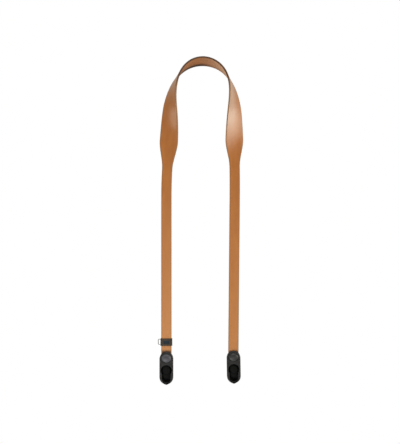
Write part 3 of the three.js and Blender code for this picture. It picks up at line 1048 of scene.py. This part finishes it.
@dataclass
class LegEnd:
    """What hangs at the end of one leg: the housing, its tongue and its cross pin."""

    side: Side
    mouth: Vector
    lean: float
    dome_finish: Material

    def hang(self, piece: Object, name: str) -> Object:
        """Copies a piece from the housing's own frame to this leg's end.

        Args:
            piece: the piece at the origin.
            name: the copy's name.

        Returns:
            The copy, with its place in its mesh.
        """
        mesh = piece.data.copy()
        mesh.transform(Matrix.Translation(self.mouth) @ Matrix.Rotation(self.lean, 4, "Y"))
        mesh.name = name
        copy = bpy.data.objects.new(name, mesh)
        bpy.context.scene.collection.objects.link(copy)
        smooth(copy)
        return copy

    def build(self, housing: Object, tongue: Object, steel: Material) -> None:
        """Hangs the housing and the tongue and dresses the pin.

        Args:
            housing: the housing at the origin.
            tongue: the tongue in the housing's frame.
            steel: the pin's material.
        """
        word = self.side.word
        shell = self.hang(housing, f"{word}_housing_shell")
        shell.data.materials[1] = self.dome_finish
        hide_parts(f"{word}_housing")
        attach(shell, "strap_body")
        log.info("%s hangs at %s", shell.name, tuple(round(c, 4) for c in self.mouth))
        leaf = self.hang(tongue, f"{word}_tongue_leaf")
        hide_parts(f"{word}_tongue")
        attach(leaf, f"{word}_tongue_body")
        log.info("%s lies in the %s housing", leaf.name, word)
        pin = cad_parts[f"{word}_pin"]
        pin.data.materials.clear()
        pin.data.materials.append(steel)
        log.info("%s keeps its packed shape", pin.name)


@dataclass
class Keeper:
    """The rubber band round the left leg, with a bare recessed plate in front and a wire loop at its side."""

    middle: Vector
    rise: float = 7.9 * MM
    leather_width: float = 13.9 * MM
    leather_thickness: float = 2.4 * MM
    gap: float = 0.3 * MM
    length: float = 9.7 * MM
    side_wall: float = 0.7 * MM
    front_wall: float = 1 * MM
    back_wall: float = 2.4 * MM
    corner: float = 1 * MM
    softening: float = 0.3 * MM
    plate_width: float = 7.4 * MM
    plate_length: float = 4.2 * MM
    plate_depth: float = 0.4 * MM
    wire_diameter: float = 0.9 * MM
    wire_grip: float = 8 * MM
    loop_reach: float = 3.5 * MM
    loop_inset: float = 0.85 * MM
    loop_corner: float = 1.2 * MM
    overcut: float = 1 * MM

    @property
    def outer_half(self) -> float:
        """Half the band's outer width."""
        return self.leather_width / 2 + self.gap + self.side_wall

    @property
    def hole_depth(self) -> float:
        """Half the thickness of the hole that the leather runs through."""
        return self.leather_thickness / 2 + self.gap

    @property
    def wire_depth(self) -> float:
        """The depth of the wire's middle, half way through the thick back."""
        return self.hole_depth + self.back_wall / 2

    @property
    def wire_half(self) -> float:
        """Half the height between the two arms of the loop."""
        return (self.length - 2 * self.loop_inset - self.wire_diameter) / 2

    def band(self, rubber: Material, plate_finish: Material) -> Object:
        """Builds the rubber band.

        Args:
            rubber: the band's material.
            plate_finish: the recessed plate's material.

        Returns:
            The band's object.
        """
        hole_half = self.leather_width / 2 + self.gap
        front = -self.hole_depth - self.front_wall
        outer = rounded_rectangle(self.outer_half, front, self.hole_depth + self.back_wall, self.corner)
        inner = rounded_rectangle(hole_half, -self.hole_depth, self.hole_depth, self.softening)
        bm = bmesh.new()
        for outline in (outer, inner):
            ring = bmesh.ops.create_circle(bm, cap_ends=False, segments=len(outline), radius=1)
            for vert, place in zip(ring["verts"], outline):
                vert.co = (place.x, place.y, -self.length / 2)
        made = bmesh.ops.bridge_loops(bm, edges=bm.edges[:])
        made = bmesh.ops.extrude_face_region(bm, geom=made["faces"])
        moved = [item for item in made["geom"] if isinstance(item, BMVert)]
        bmesh.ops.translate(bm, verts=moved, vec=(0, 0, self.length))
        bmesh.ops.recalc_face_normals(bm, faces=bm.faces[:])
        rims = [edge for edge in bm.edges if edge.calc_face_angle(0) > math.radians(80)]
        bmesh.ops.bevel(
            bm, geom=rims, offset=self.softening, offset_type="OFFSET", segments=3, profile=0.5,
            affect="EDGES", material=-1,
        )
        piece = to_object("keeper_sleeve", bm, [rubber, plate_finish])
        recess = block(
            Vector((-self.plate_width / 2, front - self.overcut, -self.plate_length / 2)),
            Vector((self.plate_width / 2, front + self.plate_depth, self.plate_length / 2)),
        )
        combine(piece, to_object("recess", recess, [plate_finish]), Join.CUT)
        bore_length = self.wire_grip + self.gap + self.overcut
        for height in (self.wire_half, -self.wire_half):
            middle = Vector((bore_length / 2 - self.outer_half - self.overcut, self.wire_depth, height))
            bore = rod("X", self.wire_diameter / 2 + self.gap, bore_length, middle, 32)
            combine(piece, to_object("bore", bore, [rubber]), Join.CUT)
        return piece

    def loop(self, metal: Material) -> Object:
        """Bends the wire: an arm out, a round corner, a straight side, a round corner and an arm back.

        Args:
            metal: the wire's material.

        Returns:
            The loop's object.
        """
        inner = self.wire_grip - self.outer_half
        outer = self.wire_diameter / 2 - self.outer_half - self.loop_reach
        bm = bmesh.new()
        start = Matrix.Translation((inner, self.wire_depth, self.wire_half))
        sideways = Matrix.Rotation(math.pi / 2, 4, "Y")
        bmesh.ops.create_circle(
            bm, cap_ends=False, segments=20, radius=self.wire_diameter / 2, matrix=start @ sideways,
        )
        arm = outer + self.loop_corner - inner
        drop = self.loop_corner - self.wire_half
        end = self.run_on(bm, bm.edges[:], Vector((arm, 0, 0)))
        end = self.bend(bm, end, Vector((outer + self.loop_corner, self.wire_depth, -drop)))
        end = self.run_on(bm, end, Vector((0, 0, 2 * drop)))
        end = self.bend(bm, end, Vector((outer + self.loop_corner, self.wire_depth, drop)))
        self.run_on(bm, end, Vector((-arm, 0, 0)))
        bmesh.ops.edgeloop_fill(bm, edges=[edge for edge in bm.edges if edge.is_boundary])
        bmesh.ops.recalc_face_normals(bm, faces=bm.faces[:])
        return to_object("keeper_wire", bm, [metal])

    def run_on(self, bm: BMesh, end: Ring, step: Vector) -> Ring:
        """Draws the wire on in a straight line.

        Args:
            bm: the wire so far.
            end: the ring of edges at its end.
            step: how far and which way.

        Returns:
            The new end ring.
        """
        made = bmesh.ops.extrude_edge_only(bm, edges=end)["geom"]
        moved = [item for item in made if isinstance(item, BMVert)]
        bmesh.ops.translate(bm, verts=moved, vec=step)
        return [item for item in made if isinstance(item, BMEdge) and item.is_boundary]

    def bend(self, bm: BMesh, end: Ring, centre: Vector) -> Ring:
        """Bends the wire a quarter turn round a centre.

        Args:
            bm: the wire so far.
            end: the ring of edges at its end.
            centre: the middle of the bend.

        Returns:
            The new end ring.
        """
        made = bmesh.ops.spin(
            bm, geom=end, cent=centre, axis=(0, 1, 0), angle=-math.pi / 2, steps=8, use_merge=False,
            use_normal_flip=False, use_duplicate=False,
        )
        return [item for item in made["geom_last"] if isinstance(item, BMEdge)]

    def build(self) -> list[Object]:
        """Builds the keeper in place on the left leg.

        Returns:
            The sleeve and the wire loop.
        """
        sleeve = self.band(Moulding.RUBBER.value.build(), Moulding.PLATE.value.build())
        pieces = [sleeve, self.loop(DrawnMetal().build())]
        for piece, node, slot in zip(pieces, ("keeper_band", "keeper_loop"), ("keeper_rubber", "loop_wire")):
            piece.data.transform(Matrix.Translation(self.middle))
            smooth(piece)
            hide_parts(node)
            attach(piece, "keeper")
            log.info("%s stands for %s", piece.name, node)
        return pieces


@dataclass
class Studio:
    """A white sweep, soft even light and the camera at the photographed angle."""

    camera_place: Vector
    lens: float = 101.35
    floor_height: float = -0.62
    floor_radius: float = 0.3
    aim_height: float = -0.15
    cream: str = "#FFFCEC"
    fill: float = 0.24
    backdrop: float = 0.5
    turning: tuple[float, float] = (-0.2, 0.6)
    floor_colour: str = "#F6F6F5"

    def sweep(self) -> Object:
        """Builds the round pale floor below the strap."""
        bm = bmesh.new()
        bmesh.ops.create_circle(bm, cap_ends=True, segments=96, radius=self.floor_radius)
        bmesh.ops.translate(bm, verts=bm.verts[:], vec=(0, 0, self.floor_height))
        material, tree = new_tree("matt white studio floor")
        close_surface(tree, {"Base Color": to_linear(self.floor_colour), "Roughness": 0.9})
        floor = to_object("floor", bm, [material])
        return floor

    def light(self, name: str, place: Vector, size: tuple[float, float], power: float, warm: bool) -> None:
        """Adds one softbox.

        Args:
            name: the light's name.
            place: where it hangs.
            size: its width and height.
            power: its power in watts.
            warm: whether its cloth is cream rather than white.
        """
        lamp = bpy.data.lights.new(name, "AREA")
        lamp.shape = "RECTANGLE"
        lamp.size, lamp.size_y = size
        lamp.energy = power
        if warm:
            lamp.color = to_linear(self.cream)[:3]
        box = bpy.data.objects.new(name, lamp)
        box.location = place
        box.rotation_euler = (Vector((0, 0, self.aim_height)) - place).to_track_quat("-Z", "Y").to_euler()
        bpy.context.scene.collection.objects.link(box)

    def world(self) -> None:
        """Fills the room with even white light."""
        world = bpy.data.worlds.new("white room")
        bpy.context.scene.world = world
        world.use_nodes = True
        world.node_tree.nodes.clear()
        tree = world.node_tree
        place = add_node(tree, "ShaderNodeTexCoord")
        parts = add_node(tree, "ShaderNodeSeparateXYZ", {0: place.outputs["Generated"]})
        strength = add_node(tree, "ShaderNodeMapRange", {
            "Value": parts.outputs["Y"], "From Min": self.turning[0], "From Max": self.turning[1],
            "To Min": self.fill, "To Max": self.backdrop,
        }, interpolation_type="SMOOTHSTEP")
        room = add_node(tree, "ShaderNodeBackground", {
            "Color": to_linear(self.cream), "Strength": strength.outputs["Result"],
        })
        paper = add_node(tree, "ShaderNodeBackground", {"Color": (1, 1, 1, 1), "Strength": 1.0})
        path = add_node(tree, "ShaderNodeLightPath")
        both = add_node(tree, "ShaderNodeMixShader", {
            "Fac": path.outputs["Is Camera Ray"], 1: room.outputs["Background"],
            2: paper.outputs["Background"],
        })
        add_node(tree, "ShaderNodeOutputWorld", {"Surface": both.outputs["Shader"]})

    def camera(self) -> None:
        """Puts the camera level with the middle of the strap, as in the photograph."""
        data = bpy.data.cameras.new("camera")
        data.sensor_width = 36
        data.lens = self.lens
        eye = bpy.data.objects.new("camera", data)
        eye.location = self.camera_place
        eye.rotation_euler = (math.pi / 2, 0, 0)
        bpy.context.scene.collection.objects.link(eye)
        bpy.context.scene.camera = eye

    def build(self) -> None:
        """Sets up the floor, the light and the camera."""
        self.sweep()
        self.world()
        self.camera()
        bpy.context.scene.view_settings.view_transform = "Standard"
        bpy.context.scene.view_settings.look = "None"
        self.light("softbox on the right", Vector((1.4, -0.7, -0.06)), (1.7, 1.0), 18, warm=True)
        self.light("softbox on the left", Vector((-1.46, -0.5, -0.06)), (1.0, 0.4), 4, warm=True)
        self.light("softbox above the viewer", Vector((0, -1.2, 1.5)), (1.4, 0.8), 15, warm=False)
        self.light("low softbox", Vector((-0.6, -1.4, -1.2)), (1.0, 0.7), 11, warm=False)
        log.info("studio is set up with the camera at %s", tuple(self.camera_place))


def main() -> None:
    """Builds the strap piece by piece and sets up the studio."""
    logging.basicConfig(level=logging.INFO, format="%(name)s: %(message)s")
    drape = Drape()
    strap = LeatherBand(drape)
    band = strap.build()
    log.info("%s has %d faces", band.name, len(band.data.polygons))

    housing = ReleaseHousing()
    domes = {Side.LEFT: Moulding.LEFT_DOME_STRONG_PAINTED_SHEEN.value.build(), Side.RIGHT: Moulding.RIGHT_DOME_FAINT_PAINTED_SHEEN.value.build()}
    steel = DrawnMetal(name="turned steel pin", light="#A9ABAE", deep="#8C8E92", roughness=0.35).build()
    shell = housing.shell([Moulding.BODY.value.build(), domes[Side.LEFT], Moulding.INSIDE.value.build()])
    tongue = housing.tongue(Moulding.TONGUE.value.build())
    leans = {Side.LEFT: 0.0, Side.RIGHT: math.radians(-1)}
    for side in Side:
        mouth = drape.station(strap.mouth_along(side)).middle
        LegEnd(side, mouth, leans[side], domes[side]).build(shell, tongue, steel)
    for pattern in (shell, tongue):
        bpy.data.objects.remove(pattern)

    keeper_along = strap.mouth_along(Side.LEFT) + Keeper.rise + Keeper.length / 2
    Keeper(drape.station(keeper_along).middle).build()

    Studio(Vector((-0.0038, -1.6995, -0.2176))).build()


if __name__ == "__main__":
    main()
